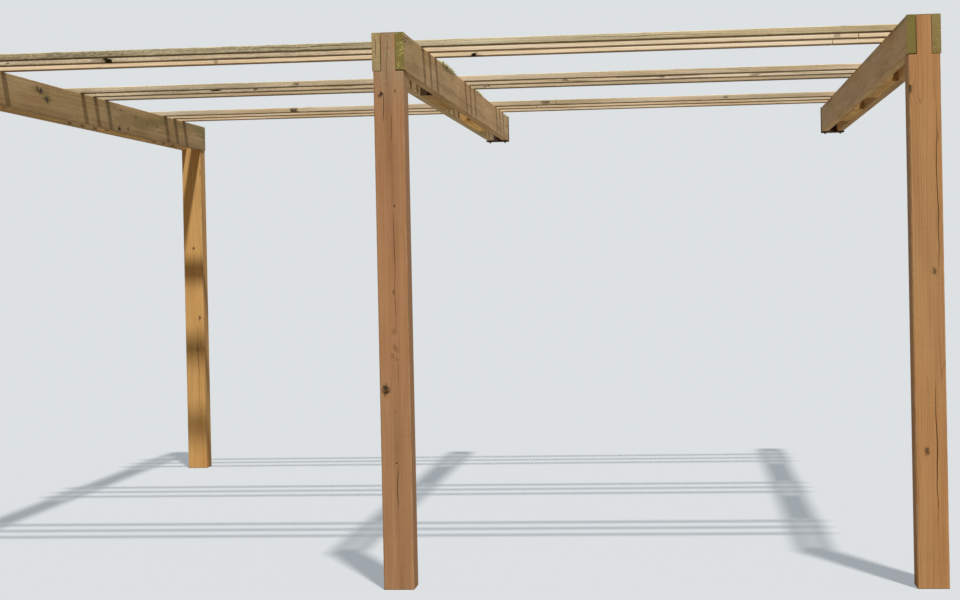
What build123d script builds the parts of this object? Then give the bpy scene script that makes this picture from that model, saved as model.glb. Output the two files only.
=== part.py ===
from build123d import *
import os

os.makedirs("parts", exist_ok=True)

# Open garden pergola, in millimetres
# X runs from left to right, Y from front to back and Z up from the ground.
# Pairs of beams run from front to back. Each pair grips the tongue of a post and
# rests on the shoulders beside it. Battens in groups lie across all the pairs.
# The left pair also has a post at its back end. The middle and right pairs end
# at a wall, on the seats of steel brackets.

# Layout
left_bay_width = 2480  # from the centre of the left beam pair to the middle pair's
right_bay_width = 2580  # from the centre of the middle beam pair to the right pair's
headroom = 2550  # from the ground to the shoulders that carry the beams
front_to_wall_depth = 5520  # from the front faces of the posts to the wall brackets
back_post_past_wall = 200  # rear face of the back post, behind the line of the brackets

# Posts
post_side = 150
post_arris = 4
tongue_thickness = 70

# Beams
beam_depth = 190
beam_thickness = 45
beam_arris = 3

# Battens
batten_height = 35
batten_width = 70
batten_arris = 2
batten_overhang = 75  # past the outer face of the outer pairs
batten_front_setback = 640  # from the front of the posts to the first batten
batten_wall_setback = 410  # from the last batten to the line of the wall brackets
batten_pitch = 260
battens_in_group = 3
batten_groups = ("front", "middle", "back")

# Spacers, which fill the gap inside a pair of beams between two groups of battens
spacer_depth = 140
spacer_arris = 2
spacer_end_clearance = 150  # from a spacer's end to the nearest batten

# Wall brackets
bracket_plate = 8
bracket_margin = 5  # the plates are wider than the beam pair by this on each side
bracket_seat_depth = 100
bracket_upstand = 190
wall_bolt_hole_radius = 7
wall_bolt_pitch = 100
seat_screw_hole_radius = 5.5

# Places worked out from the sizes
beam_top = headroom + beam_depth
pair_width = tongue_thickness + 2 * beam_thickness
beam_offset = (tongue_thickness + beam_thickness) / 2
left_pair_length = front_to_wall_depth + back_post_past_wall
front_y = -left_pair_length / 2
back_y = left_pair_length / 2
wall_y = front_y + front_to_wall_depth
outer_pair_spacing = left_bay_width + right_bay_width
pair_centres = {
    "left": -outer_pair_spacing / 2,
    "middle": left_bay_width - outer_pair_spacing / 2,
    "right": outer_pair_spacing / 2,
}
group_depth = (battens_in_group - 1) * batten_pitch + batten_width
battened_depth = front_to_wall_depth - batten_front_setback - batten_wall_setback
group_pitch = (battened_depth - group_depth) / (len(batten_groups) - 1)
group_gap = group_pitch - group_depth
first_group_y = front_y + batten_front_setback


def save(solid, name):
    """Label one finished piece and write it to its own file."""
    solid.label = name
    export_step(solid, f"parts/{name}.step")


# Posts, with a tongue at the head and a shoulder on each side of it
def make_post(name, centre_x, centre_y):
    shoulder_width = (post_side - tongue_thickness) / 2
    shoulder_offset = (tongue_thickness + shoulder_width) / 2
    with BuildPart() as post:
        with BuildSketch(Plane.XY):
            with Locations((centre_x, centre_y)):
                RectangleRounded(post_side, post_side, post_arris)
        extrude(amount=beam_top)
        with BuildSketch(Plane.XY.offset(headroom)):
            with Locations(
                (centre_x - shoulder_offset, centre_y),
                (centre_x + shoulder_offset, centre_y),
            ):
                Rectangle(shoulder_width, post_side)
        extrude(amount=beam_depth, mode=Mode.SUBTRACT)
    save(post.part, name)


front_post_y = front_y + post_side / 2
back_post_y = back_y - post_side / 2
for pair, centre in pair_centres.items():
    make_post(f"post_front_{pair}", centre, front_post_y)
make_post("post_back_left", pair_centres["left"], back_post_y)


# Beams, which start flush with the front faces of the posts
def make_beam(name, centre_x, length):
    with BuildPart() as beam:
        with BuildSketch(Plane.XZ.offset(-front_y)):
            with Locations((centre_x, headroom + beam_depth / 2)):
                RectangleRounded(beam_thickness, beam_depth, beam_arris)
        extrude(amount=-length)
    save(beam.part, name)


for pair, centre in pair_centres.items():
    pair_length = left_pair_length if pair == "left" else front_to_wall_depth
    make_beam(f"beam_{pair}_pair_left", centre - beam_offset, pair_length)
    make_beam(f"beam_{pair}_pair_right", centre + beam_offset, pair_length)


# Battens, laid flat on top of the beams
def make_batten(name, front_edge_y):
    roof_width = outer_pair_spacing + pair_width + 2 * batten_overhang
    with BuildPart() as batten:
        with BuildSketch(Plane.YZ.offset(-roof_width / 2)):
            with Locations((front_edge_y + batten_width / 2, beam_top + batten_height / 2)):
                RectangleRounded(batten_width, batten_height, batten_arris)
        extrude(amount=roof_width)
    save(batten.part, name)


for group_number, group in enumerate(batten_groups):
    group_y = first_group_y + group_number * group_pitch
    for row in range(battens_in_group):
        make_batten(f"batten_{group}_{row + 1}", group_y + row * batten_pitch)


# Spacers, flush with the underside of the beams
def make_spacer(name, centre_x, centre_y):
    with BuildPart() as spacer:
        with BuildSketch(Plane.YZ.offset(centre_x - tongue_thickness / 2)):
            with Locations((centre_y, headroom + spacer_depth / 2)):
                RectangleRounded(group_gap - 2 * spacer_end_clearance, spacer_depth, spacer_arris)
        extrude(amount=tongue_thickness)
    save(spacer.part, name)


front_gap_y = first_group_y + group_depth + group_gap / 2
for pair, centre in pair_centres.items():
    make_spacer(f"spacer_{pair}_pair_front", centre, front_gap_y)
    make_spacer(f"spacer_{pair}_pair_back", centre, front_gap_y + group_pitch)


# Wall brackets, each a seat under the beam ends and an upstand against the wall
def make_bracket(name, centre_x):
    bracket_width = pair_width + 2 * bracket_margin
    bolt_height = headroom + bracket_upstand / 2
    with BuildPart() as bracket:
        with BuildSketch(Plane.YZ.offset(centre_x - bracket_width / 2)):
            with BuildLine():
                Polyline(
                    (wall_y - bracket_seat_depth, headroom - bracket_plate),
                    (wall_y + bracket_plate, headroom - bracket_plate),
                    (wall_y + bracket_plate, headroom + bracket_upstand),
                    (wall_y, headroom + bracket_upstand),
                    (wall_y, headroom),
                    (wall_y - bracket_seat_depth, headroom),
                    close=True,
                )
            make_face()
        extrude(amount=bracket_width)
        with BuildSketch(Plane.XZ.offset(-wall_y)):
            with Locations((centre_x, bolt_height)):
                with GridLocations(0, wall_bolt_pitch, 1, 2):
                    Circle(wall_bolt_hole_radius)
        extrude(amount=-bracket_plate, mode=Mode.SUBTRACT)
        with BuildSketch(Plane.XY.offset(headroom - bracket_plate)):
            with Locations((centre_x, wall_y - bracket_seat_depth / 2)):
                with GridLocations(2 * beam_offset, 0, 2, 1):
                    Circle(seat_screw_hole_radius)
        extrude(amount=bracket_plate, mode=Mode.SUBTRACT)
    save(bracket.part, name)


for pair in ("middle", "right"):
    make_bracket(f"wall_bracket_{pair}", pair_centres[pair])
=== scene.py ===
import math
import random
from functools import partial

import bmesh
import bpy
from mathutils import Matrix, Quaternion, Vector


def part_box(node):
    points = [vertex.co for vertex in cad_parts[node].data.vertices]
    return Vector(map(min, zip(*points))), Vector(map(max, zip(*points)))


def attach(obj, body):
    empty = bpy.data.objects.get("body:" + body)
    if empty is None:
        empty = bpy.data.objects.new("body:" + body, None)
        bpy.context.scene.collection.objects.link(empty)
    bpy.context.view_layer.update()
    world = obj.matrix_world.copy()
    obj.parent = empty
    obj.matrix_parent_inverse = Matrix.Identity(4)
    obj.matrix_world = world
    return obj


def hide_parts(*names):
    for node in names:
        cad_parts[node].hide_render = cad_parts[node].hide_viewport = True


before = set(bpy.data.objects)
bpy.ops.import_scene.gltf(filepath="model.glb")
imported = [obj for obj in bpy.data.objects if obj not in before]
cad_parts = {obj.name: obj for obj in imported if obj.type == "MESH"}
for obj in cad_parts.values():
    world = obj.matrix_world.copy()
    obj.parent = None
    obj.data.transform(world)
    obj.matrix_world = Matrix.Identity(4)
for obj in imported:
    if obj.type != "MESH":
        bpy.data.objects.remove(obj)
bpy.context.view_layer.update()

bl_info = {
    "name": "Garden pergola",
    "version": (1, 0, 0),
    "blender": (4, 5, 0),
    "location": "3D View > Sidebar > Pergola",
    "description": "Dresses the sawn timbers, fixings and weathering of an open garden pergola",
    "category": "Object",
}

MM = 0.001
X, Y, Z = 0, 1, 2
PAIRS = ("left", "middle", "right")
WALL_PAIRS = ("middle", "right")
SIDES = ("left", "right")
BATTENS = [f"batten_{group}_{row}" for group in ("front", "middle", "back") for row in (1, 2, 3)]

# Shapes of wear
CUT_SPACING = 0.013  # about how far apart a timber's long faces are cut across
FUZZ_SIZE, FUZZ_DEPTH = 18 * MM, 0.9 * MM  # fuzz that the saw left on the arrises
CHIP_SIZE = 0.07  # from one chip in an arris to the next
CRACK_WAVE, CRACK_WANDER = 110 * MM, 14 * MM  # a crack's bends, along it and aside
BITE_FLAKE = 12 * MM  # size of the flakes along the edge of a hole
KNOT_STRETCH = 1.8  # a knot's length along the timber over its width
SLIVER = 0.02 * MM  # the widest sliver that a cut may leave

# Joints: how far back the gaps at a beam's head go, and the butt joints of a batten,
# which are open at both its faces and closed in the middle
TONGUE_GAP_REACH, SHOULDER_GAP_REACH = 40 * MM, 60 * MM
JOINT_WIDTH, JOINT_REACH = 5 * MM, 28 * MM

# Nails: how far from the middle of a tongue or the end of a spacer, and how far up
TONGUE_NAIL_STEP, TONGUE_NAIL_HEIGHTS = 40 * MM, (45 * MM, 145 * MM)
SPACER_NAIL_INSET, SPACER_NAIL_HEIGHTS = 80 * MM, (35 * MM, 105 * MM)

# Brackets: radii of the holes, as in the solids, and the screws in them
SEAT_HOLE, ANCHOR_HOLE = 5.5 * MM, 7 * MM
ANCHOR_STEP = 50 * MM  # from the middle of a bracket's upstand to each anchor
SEAT_SCREW_SIZE = 0.85  # size of the coach screws' heads over that of the M12 anchors

# Lichen tufts: where along the beam they start and end, and how many there are
TUFT_STRETCHES = ((1.38, 2.14, 260), (2.95, 3.7, 70))
TUFT_PEAK = 0.3  # from the start of a stretch to where they stand thickest

# Camera, fitted to the photograph, and light
IMAGE_WIDTH, IMAGE_HEIGHT = 960, 600
SENSOR_WIDTH = 36
CAMERA_PLACE = (1.3687, -11.9491, 1.602)
CAMERA_FOCAL_PIXELS = 1870.97
CAMERA_CENTRE_ROW = 280.18
CAMERA_YAW = 6.1963
CAMERA_PITCH = -0.5442
CAMERA_ROLL = -1.1852
SUN_TRAVEL = (-0.18, 0.42, -1.0)
SUN_POWER = 5.0
SKY = (0.245, 0.226, 0.19)


def linear(hex_colour):
    """Turn an sRGB hex colour into linear red, green, blue and alpha."""
    channels = [int(hex_colour[i : i + 2], 16) / 255 for i in (1, 3, 5)]
    return [c / 12.92 if c <= 0.04045 else ((c + 0.055) / 1.055) ** 2.4 for c in channels] + [1.0]


def colour_property(name, description, hex_colour):
    default = linear(hex_colour)
    return bpy.props.FloatVectorProperty(
        name=name, description=description, subtype="COLOR", size=4, min=0, max=1, default=default
    )


def length_property(name, description, millimetres):
    metres = millimetres * MM
    return bpy.props.FloatProperty(
        name=name, description=description, subtype="DISTANCE", unit="LENGTH", min=0, default=metres
    )


# Values that a user would change


class PergolaColours(bpy.types.PropertyGroup):
    post_wood: colour_property("Post wood", "Early wood of the oiled posts", "#B1865F")
    post_grain: colour_property("Post grain", "Late wood of the oiled posts", "#996D49")
    beam_wood: colour_property("Beam wood", "Early wood of the treated beams", "#DBBD90")
    beam_grain: colour_property("Beam grain", "Late wood of the treated beams", "#B08F61")
    batten_wood: colour_property("Batten wood", "Early wood of the treated battens", "#F2E3CA")
    batten_grain: colour_property("Batten grain", "Late wood of the treated battens", "#C4AE86")
    spacer_wood: colour_property("Spacer wood", "Early wood of the sheltered spacers", "#DDB577")
    spacer_grain: colour_property("Spacer grain", "Late wood of the sheltered spacers", "#B08350")
    aged_wood: colour_property("Aged wood", "Wood turned grey by sun and rain", "#857A60")
    algae: colour_property("Algae", "Green film on damp treated pine", "#6E632A")
    lichen: colour_property("Lichen", "Crust on the end grain of the beams", "#D3CA72")
    knot: colour_property("Knot", "Heart of a knot", "#36270F")
    rust: colour_property("Rust", "Rusted mild steel of the wall brackets", "#3E2317")
    zinc: colour_property("Zinc", "Dull galvanised nails and screws", "#8F9292")
    floor: colour_property("Floor", "Pale studio floor", "#8A8987")
    backdrop: colour_property("Backdrop", "Pale backdrop behind the floor", "#DDE1E3")


class PergolaSizes(bpy.types.PropertyGroup):
    post_arris: length_property("Post arris", "Rounding of the posts' long edges", 4)
    beam_arris: length_property("Beam arris", "Rounding of the beams' long edges", 3)
    batten_arris: length_property("Batten arris", "Rounding of the battens' long edges", 3)
    chip_depth: length_property("Chip depth", "Deepest bite that wear takes out of an arris", 3.5)
    nail_head: length_property("Nail head", "Diameter of the nail heads in the beams", 7.5)
    screw_head: length_property("Screw head", "Diameter of the screw heads in the battens", 11)
    tuft_height: length_property("Tuft height", "Height of the tallest lichen tuft", 22)


# Shaping tools


def deselect():
    bpy.ops.object.select_all(action="DESELECT")


def start(kind, **settings):
    """Add a primitive with nothing else selected and put its place into its mesh."""
    deselect()
    getattr(bpy.ops.mesh, f"primitive_{kind}_add")(**settings)
    bpy.ops.object.transform_apply(location=True, rotation=True, scale=True)
    return bpy.context.active_object


def block(low, high):
    """A box between two corners."""
    return start("cube", size=1, location=(low + high) / 2, scale=high - low)


def make_active(piece):
    deselect()
    piece.select_set(True)
    bpy.context.view_layer.objects.active = piece


def settle(piece, place, scale):
    """Size and move the piece just made, and put that into its mesh."""
    piece.scale = scale
    piece.location = place
    bpy.ops.object.transform_apply(location=True, rotation=True, scale=True)


def choose(piece, part, wanted):
    """In edit mode, select only the edges or faces that pass a test."""
    bpy.ops.mesh.select_mode(type=part)
    bpy.ops.mesh.select_all(action="DESELECT")
    mesh = bmesh.from_edit_mesh(piece.data)
    for element in mesh.edges if part == "EDGE" else mesh.faces:
        if wanted(element):
            element.select_set(True)
    bmesh.update_edit_mesh(piece.data)


def extrude(step):
    """In edit mode, extrude the chosen faces by a step."""
    bpy.ops.mesh.extrude_region_move(TRANSFORM_OT_translate={"value": step})


def edge_run(edge, axis):
    """How far an edge runs along an axis, or nothing if it runs another way."""
    step = edge.verts[1].co - edge.verts[0].co
    return abs(step[axis]) if abs(step[axis]) > 0.99 * step.length else 0


def add_modifier(piece, kind, **settings):
    """Add one modifier and apply it."""
    make_active(piece)
    modifier = piece.modifiers.new(kind.title(), kind)
    for key, value in settings.items():
        setattr(modifier, key, value)
    bpy.ops.object.modifier_apply(modifier=modifier.name)


def clouds(name, size, contrast=1.0, intensity=1.0):
    """A noise for the displace modifier, with blobs of the given size in metres."""
    texture = bpy.data.textures.new(name, "CLOUDS")
    texture.noise_scale = size
    texture.noise_depth = 2
    texture.contrast = contrast
    texture.intensity = intensity
    return texture


def displace(piece, texture, strength, **settings):
    """Push the surface of a piece in and out by a noise."""
    settings.update(texture=texture, texture_coords="LOCAL", strength=strength)
    add_modifier(piece, "DISPLACE", **settings)


def join(pieces, name):
    """Join pieces into one mesh."""
    deselect()
    for piece in pieces:
        piece.select_set(True)
    bpy.context.view_layer.objects.active = pieces[0]
    if len(pieces) > 1:
        bpy.ops.object.join()
    pieces[0].name = name
    return pieces[0]


def copy_to(model, place, turn=(0, 0, 0), size=1.0):
    """Copy a model that was made at the origin, with its own mesh, to a place."""
    make_active(model)
    bpy.ops.object.duplicate()
    piece = bpy.context.active_object
    piece.rotation_euler = turn
    settle(piece, place, (size, size, size))
    return piece


def hand_over(piece, material, nodes=(), smooth_angle=35):
    """Give a finished piece its material and its place in the record."""
    make_active(piece)
    bpy.ops.object.shade_smooth_by_angle(angle=math.radians(smooth_angle))
    piece.data.materials.clear()
    piece.data.materials.append(material)
    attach(piece, "root")
    if nodes:
        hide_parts(*nodes)
    return piece


# Material tools


def add_node(tree, kind, links, out=0, **settings):
    """Add one node with its settings and inputs, and return one of its outputs."""
    node = tree.nodes.new("ShaderNode" + kind)
    for key, value in settings.items():
        setattr(node, key, value)
    for key, value in links.items():
        if isinstance(value, bpy.types.NodeSocket):
            tree.links.new(value, node.inputs[key])
        else:
            node.inputs[key].default_value = value
    return node.outputs[out] if node.outputs else node


def new_material(name):
    """Start a material with an empty node tree."""
    material = bpy.data.materials.new(name)
    material.use_nodes = True
    material.node_tree.nodes.clear()
    return material, material.node_tree


def new_group(name, inputs, outputs):
    """Start a node group and return its tree, its inputs by name and its output node."""
    tree = bpy.data.node_groups.new(name, "ShaderNodeTree")
    for in_out, sockets in (("INPUT", inputs), ("OUTPUT", outputs)):
        for kind, labels in sockets.items():
            for label in labels:
                tree.interface.new_socket(label, in_out=in_out, socket_type=f"NodeSocket{kind}")
    given = tree.nodes.new("NodeGroupInput")
    result = tree.nodes.new("NodeGroupOutput")
    return tree, given.outputs, result


# Patterns in sawn pine: size along, across and through the timber in millimetres,
# and how finely each is broken up
PATTERNS = {
    # The pith isn't straight, and the rings waver between it and the bark
    "wander": ((1800, 700, 700), 2.0),
    "waver": ((285, 62, 62), 2.0),
    # Streaks in which several rings run together
    "streaks": ((770, 13.3, 13.3), 3.0),
    # Fibres. Real ones are 0.04 mm wide and 3 mm long, too fine to show, so they
    # are drawn coarser, in bundles 2.4 mm wide
    "fibres": ((110, 2.4, 2.4), 2.0),
    "blotches": ((590, 125, 125), 3.0),
    # Marks of the band saw across every face, about 7 mm apart
    "saw marks": ((6.7, 110, 110), 2.0),
    "resin": ((1100, 250, 250), 2.0),
    # Algae spread where water stands, a hand's breadth at a time
    "algae": ((830, 170, 170), 4.0),
    # Weathered wood: long patches, and speckles of mould in them. Real speckles are
    # 1 to 2 mm wide and are drawn 8 mm wide so that they show
    "patches": ((420, 38, 38), 4.0),
    "speckles": ((18, 8.3, 8.3), 3.0),
    # Drying checks wander along lines about 50 mm apart, in some stretches only
    "check lines": ((1250, 50, 50), 1.0),
    "checked stretches": ((900, 200, 200), 1.0),
    # Knocks and handling rub the arrises in places as long as a finger, and the pale rubbed wood
    # also stands as a painted highlight along the edges
    "rubbed and highlit places": ((71, 33, 33), 2.0),
    # Lichen: colonies as wide as a thumb, made of crusts that are 2 to 3 mm wide in
    # life and are drawn 6 mm wide so that they show
    "colonies": ((30, 30, 30), 2.0),
    "crusts": ((6.2, 6.2, 6.2), 5.0),
}

# Where a pattern starts and ends to show, and how much of it shows at most
MASKS = {
    "streaks": (0.35, 0.6, 1.0),
    "resin": (0.35, 0.65, 0.8),
    "algae": (0.36, 0.66, 1.0),
    "patches": (0.38, 0.62, 0.55),
    "speckles": (0.42, 0.6, 1.0),
    "checked stretches": (0.5, 0.6, 1.0),
    "rubbed and highlit places": (0.4, 0.62, 0.35),
    "colonies": (0.42, 0.6, 1.0),
}

# Linear tints, which multiply the wood's own colour, and the pale wood of rubbed arrises, which is
# partly a painted highlight
RESIN_TINT = (1.0, 0.92, 0.85, 1.0)
HEART_TINT = (0.55, 0.45, 0.38, 1.0)
CHECK_TINT = (0.2, 0.17, 0.15, 1.0)
END_TINTS = ((0.88, 0.86, 0.8, 1.0), (0.55, 0.5, 0.43, 1.0))
RUBBED_AND_HIGHLIT_WOOD = (0.75, 0.63, 0.44, 1.0)

SMOOTH = {"interpolation_type": "SMOOTHSTEP"}
COLOURS = {"out": 2, "data_type": "RGBA"}
TINTED = {**COLOURS, "blend_type": "MULTIPLY"}


def knot_group():
    """One knot: a mask for its colour, and a push that bends the rings round it.

    To the eye it is a dark ragged oval, a little longer along the timber than
    across it, with the grain flowing round it. Its edge is ragged by 14 mm flakes.
    """
    tree, given, result = new_group(
        "knot",
        {"Vector": ("Point", "Centre", "Size"), "Float": ("Darkness", "Mask", "Push")},
        {"Float": ("Mask", "Push")},
    )
    add = partial(add_node, tree)
    offset = add("VectorMath", {0: given["Point"], 1: given["Centre"]}, operation="SUBTRACT")
    scaled = add("VectorMath", {0: offset, 1: given["Size"]}, operation="DIVIDE")
    length = add("VectorMath", {0: scaled}, out="Value", operation="LENGTH")
    ragged = add("TexNoise", {"Vector": given["Point"], "Scale": 1 / (14 * MM), "Detail": 3.0})
    reach = add("Math", {0: ragged, 1: 2.4, 2: -1.2}, operation="MULTIPLY_ADD")
    distance = add("Math", {0: length, 1: reach}, operation="ADD")
    inside = add("MapRange", {"Value": distance, "From Min": 1.35, "From Max": 0.35}, **SMOOTH)
    shade = add("Math", {0: inside, 1: given["Darkness"]}, operation="MULTIPLY")
    mask = add("Math", {0: shade, 1: given["Mask"]}, operation="MAXIMUM")
    swell = {"Value": length, "From Min": 4.0, "From Max": 0.0, "To Max": 11 * MM}
    swell = add("MapRange", swell, **SMOOTH)
    push = add("Math", {0: swell, 1: given["Push"]}, operation="ADD")
    tree.links.new(mask, result.inputs["Mask"])
    tree.links.new(push, result.inputs["Push"])
    return tree


def pine_group():
    """Sawn pine. Point is in the timber's own frame, with its length along X.

    To the eye it is a dry surface with hardly any shine. Straight golden grain runs
    along it and shows as rings on the ends, with faint saw marks across, dark knots
    and checks, grey on top where the sun reaches and green where it stays damp.
    """
    tree, given, result = new_group(
        "sawn pine",
        {
            "Vector": ("Point", "Half size", "Pith", "Seed"),
            "Color": ("Early wood", "Late wood", "Knot colour", "Aged wood", "Algae colour")
            + ("End colour", "Lichen colour", "Underside"),
            "Float": ("Ring width", "Grain", "Knot", "Push", "Stain", "Age", "Algae", "Checks")
            + ("Weather from", "Weather to", "Weather here", "Weather there")
            + ("End film", "Lichen"),
        },
        {"Color": ("Colour",), "Float": ("Roughness", "Height")},
    )
    add = partial(add_node, tree)
    point = given["Point"]
    seeded = add("VectorMath", {0: point, 1: given["Seed"]}, operation="ADD")
    pattern = {}
    for name, (size, detail) in PATTERNS.items():
        size = [length * MM for length in size]
        stretched = add("VectorMath", {0: seeded, 1: size}, operation="DIVIDE")
        pattern[name] = add("TexNoise", {"Vector": stretched, "Scale": 1.0, "Detail": detail})
    mask = {}
    for name, (first, last, most) in MASKS.items():
        limits = {"Value": pattern[name], "From Min": first, "From Max": last, "To Max": most}
        mask[name] = add("MapRange", limits, **SMOOTH)

    # Growth rings round the pith: each darkens slowly through the summer and ends sharply
    radial = add("VectorMath", {0: point, 1: (0.0, 1.0, 1.0)}, operation="MULTIPLY")
    radial = add("VectorMath", {0: radial, 1: given["Pith"]}, operation="ADD")
    for name, reach in (("wander", 85 * MM), ("waver", 9 * MM)):
        shift = pattern[name].node.outputs["Color"]
        shift = add("VectorMath", {0: shift, 1: (0.5, 0.5, 0.5)}, operation="SUBTRACT")
        shift = add("VectorMath", {0: shift, 1: (0.0, reach, reach)}, operation="MULTIPLY")
        radial = add("VectorMath", {0: radial, 1: shift}, operation="ADD")
    radius = add("VectorMath", {0: radial}, out="Value", operation="LENGTH")
    radius = add("Math", {0: radius, 1: given["Push"]}, operation="ADD")
    ring = add("Math", {0: radius, 1: given["Ring width"]}, operation="DIVIDE")
    ring = add("Math", {0: ring}, operation="FRACT")
    rise = add("MapRange", {"Value": ring, "From Min": 0.1, "From Max": 0.85}, **SMOOTH)
    fall = add("MapRange", {"Value": ring, "From Min": 1.0, "From Max": 0.88}, **SMOOTH)
    late = add("Math", {0: rise, 1: fall}, operation="MULTIPLY")

    # How far the colour goes from early wood to late wood
    tone = add("Math", {0: late, 1: given["Grain"], 2: 0.3}, operation="MULTIPLY_ADD")
    for name, share in (("streaks", 1.1), ("fibres", 0.6), ("blotches", 0.9), ("saw marks", 0.22)):
        swing = add("Math", {0: pattern[name], 1: 0.5}, operation="SUBTRACT")
        tone = add("Math", {0: swing, 1: share, 2: tone}, operation="MULTIPLY_ADD")
    tone = add("MapRange", {"Value": tone}, **SMOOTH)
    colour = add("Mix", {0: tone, 6: given["Early wood"], 7: given["Late wood"]}, **COLOURS)

    # Resin, which reddens a stretch of the wood, and the darker pith and heartwood
    colour = add("Mix", {0: mask["resin"], 6: colour, 7: RESIN_TINT}, **TINTED)
    pith = add("MapRange", {"Value": radius, "From Min": 8 * MM, "From Max": 2 * MM}, **SMOOTH)
    pith = add("Math", {0: pith, 1: mask["streaks"]}, operation="MULTIPLY")
    heart = {"Value": radius, "From Min": 35 * MM, "From Max": 4 * MM, "To Max": 0.7}
    heart = add("MapRange", heart, **SMOOTH)
    heart = add("Math", {0: heart, 1: pattern["blotches"]}, operation="MULTIPLY")
    heart = add("Math", {0: pith, 1: heart}, operation="MAXIMUM")
    colour = add("Mix", {0: heart, 6: colour, 7: HEART_TINT}, **TINTED)

    # Weather, which may be worse at one end of the timber than at the other
    weather = {
        "Value": add("SeparateXYZ", {0: point}, out="X"),
        "From Min": given["Weather from"],
        "From Max": given["Weather to"],
        "To Min": given["Weather here"],
        "To Max": given["Weather there"],
    }
    weather = add("MapRange", weather, **SMOOTH)

    # Green algae film in soft patches
    film = add("Math", {0: mask["algae"], 1: weather}, operation="MULTIPLY")
    film = add("Math", {0: film, 1: given["Algae"]}, operation="MULTIPLY")
    film = add("Math", {0: film, 1: given["Stain"]}, operation="MAXIMUM")
    colour = add("Mix", {0: film, 6: colour, 7: given["Algae colour"]}, **COLOURS)

    # Greyed wood: on top faces, and in patches and speckles elsewhere
    normal = add("NewGeometry", {}, out="Normal")
    facing = add("SeparateXYZ", {0: normal}, out="Z")
    worn = {0: mask["speckles"], 1: 0.45, 2: mask["patches"]}
    worn = add("Math", worn, operation="MULTIPLY_ADD")
    worn = add("Math", {0: worn, 1: given["Age"]}, operation="MULTIPLY")
    worn = add("Math", {0: worn, 1: weather}, operation="MULTIPLY")
    top = {"Value": facing, "From Min": 0.5, "From Max": 0.95, "To Max": 0.66}
    top = add("MapRange", top, **SMOOTH)
    worn = add("Math", {0: worn, 1: top}, operation="MAXIMUM")
    colour = add("Mix", {0: worn, 6: colour, 7: given["Aged wood"]}, **COLOURS)

    # Undersides: painted light and shade on faces that look down, lighter on beams and spacers,
    # darker on battens, where some of the darkening is real grime
    underside_light = add("MapRange", {"Value": facing, "From Min": -0.6, "From Max": -0.95}, **SMOOTH)
    colour = add("Mix", {0: underside_light, 6: colour, 7: given["Underside"]}, **TINTED)

    # Hairline checks. Real ones are under 1 mm wide and are drawn about 2 mm wide
    # so that they show; the wide ones are cut into the mesh
    crossing = add("Math", {0: pattern["check lines"], 1: 0.5}, operation="SUBTRACT")
    crossing = add("Math", {0: crossing}, operation="ABSOLUTE")
    check = add("MapRange", {"Value": crossing, "From Min": 0.012, "From Max": 0.003}, **SMOOTH)
    check = add("Math", {0: check, 1: mask["checked stretches"]}, operation="MULTIPLY")
    check = add("Math", {0: check, 1: given["Checks"]}, operation="MULTIPLY")
    shadow = add("Mix", {0: 1.0, 6: given["Late wood"], 7: CHECK_TINT}, **TINTED)
    colour = add("Mix", {0: check, 6: colour, 7: shadow}, **COLOURS)

    # Knots
    colour = add("Mix", {0: given["Knot"], 6: colour, 7: given["Knot colour"]}, **COLOURS)

    # Arrises, paler in places: real rubbed wear, and partly a painted highlight along the edges
    inset = add("VectorMath", {0: point}, operation="ABSOLUTE")
    inset = add("VectorMath", {0: given["Half size"], 1: inset}, operation="SUBTRACT")
    inset = add("SeparateXYZ", {0: inset}).node.outputs
    arris = add("Math", {0: inset["Y"], 1: inset["Z"]}, operation="MAXIMUM")
    arris = add("MapRange", {"Value": arris, "From Min": 7 * MM, "From Max": 2.5 * MM}, **SMOOTH)
    rubbed_and_highlit = add("Math", {0: arris, 1: mask["rubbed and highlit places"]}, operation="MULTIPLY")
    pale = add("Mix", {0: 0.4, 6: given["Early wood"], 7: RUBBED_AND_HIGHLIT_WOOD}, **COLOURS)
    colour = add("Mix", {0: rubbed_and_highlit, 6: colour, 7: pale}, **COLOURS)

    # End grain: darker rings, then a green film, then crusts of lichen
    end = add("MapRange", {"Value": inset["X"], "From Min": 5 * MM, "From Max": 3 * MM}, **SMOOTH)
    deep = add("Math", {0: late, 1: 0.8}, operation="MULTIPLY")
    deep = add("Mix", {0: deep, 6: END_TINTS[0], 7: END_TINTS[1]}, **COLOURS)
    deep = add("Mix", {0: 1.0, 6: deep, 7: given["End colour"]}, **TINTED)
    colour = add("Mix", {0: end, 6: colour, 7: deep}, **TINTED)
    green = add("Mix", {0: 0.12, 6: given["Algae colour"], 7: given["Lichen colour"]}, **COLOURS)
    green = add("Mix", {0: pattern["blotches"], 6: green, 7: given["Algae colour"]}, **COLOURS)
    damp = add("Math", {0: end, 1: given["End film"]}, operation="MULTIPLY")
    colour = add("Mix", {0: damp, 6: colour, 7: green}, **COLOURS)
    crust = {0: given["Lichen"], 1: 0.2, 2: pattern["crusts"]}
    crust = add("Math", crust, operation="MULTIPLY_ADD")
    crust = add("MapRange", {"Value": crust, "From Min": 0.71, "From Max": 0.8}, **SMOOTH)
    any_lichen = add("MapRange", {"Value": given["Lichen"], "From Max": 0.05}, **SMOOTH)
    for limit in (end, mask["colonies"], any_lichen):
        crust = add("Math", {0: crust, 1: limit}, operation="MULTIPLY")
    cover = add("Math", {0: crust, 1: 0.85}, operation="MULTIPLY")
    colour = add("Mix", {0: cover, 6: colour, 7: given["Lichen colour"]}, **COLOURS)

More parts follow.
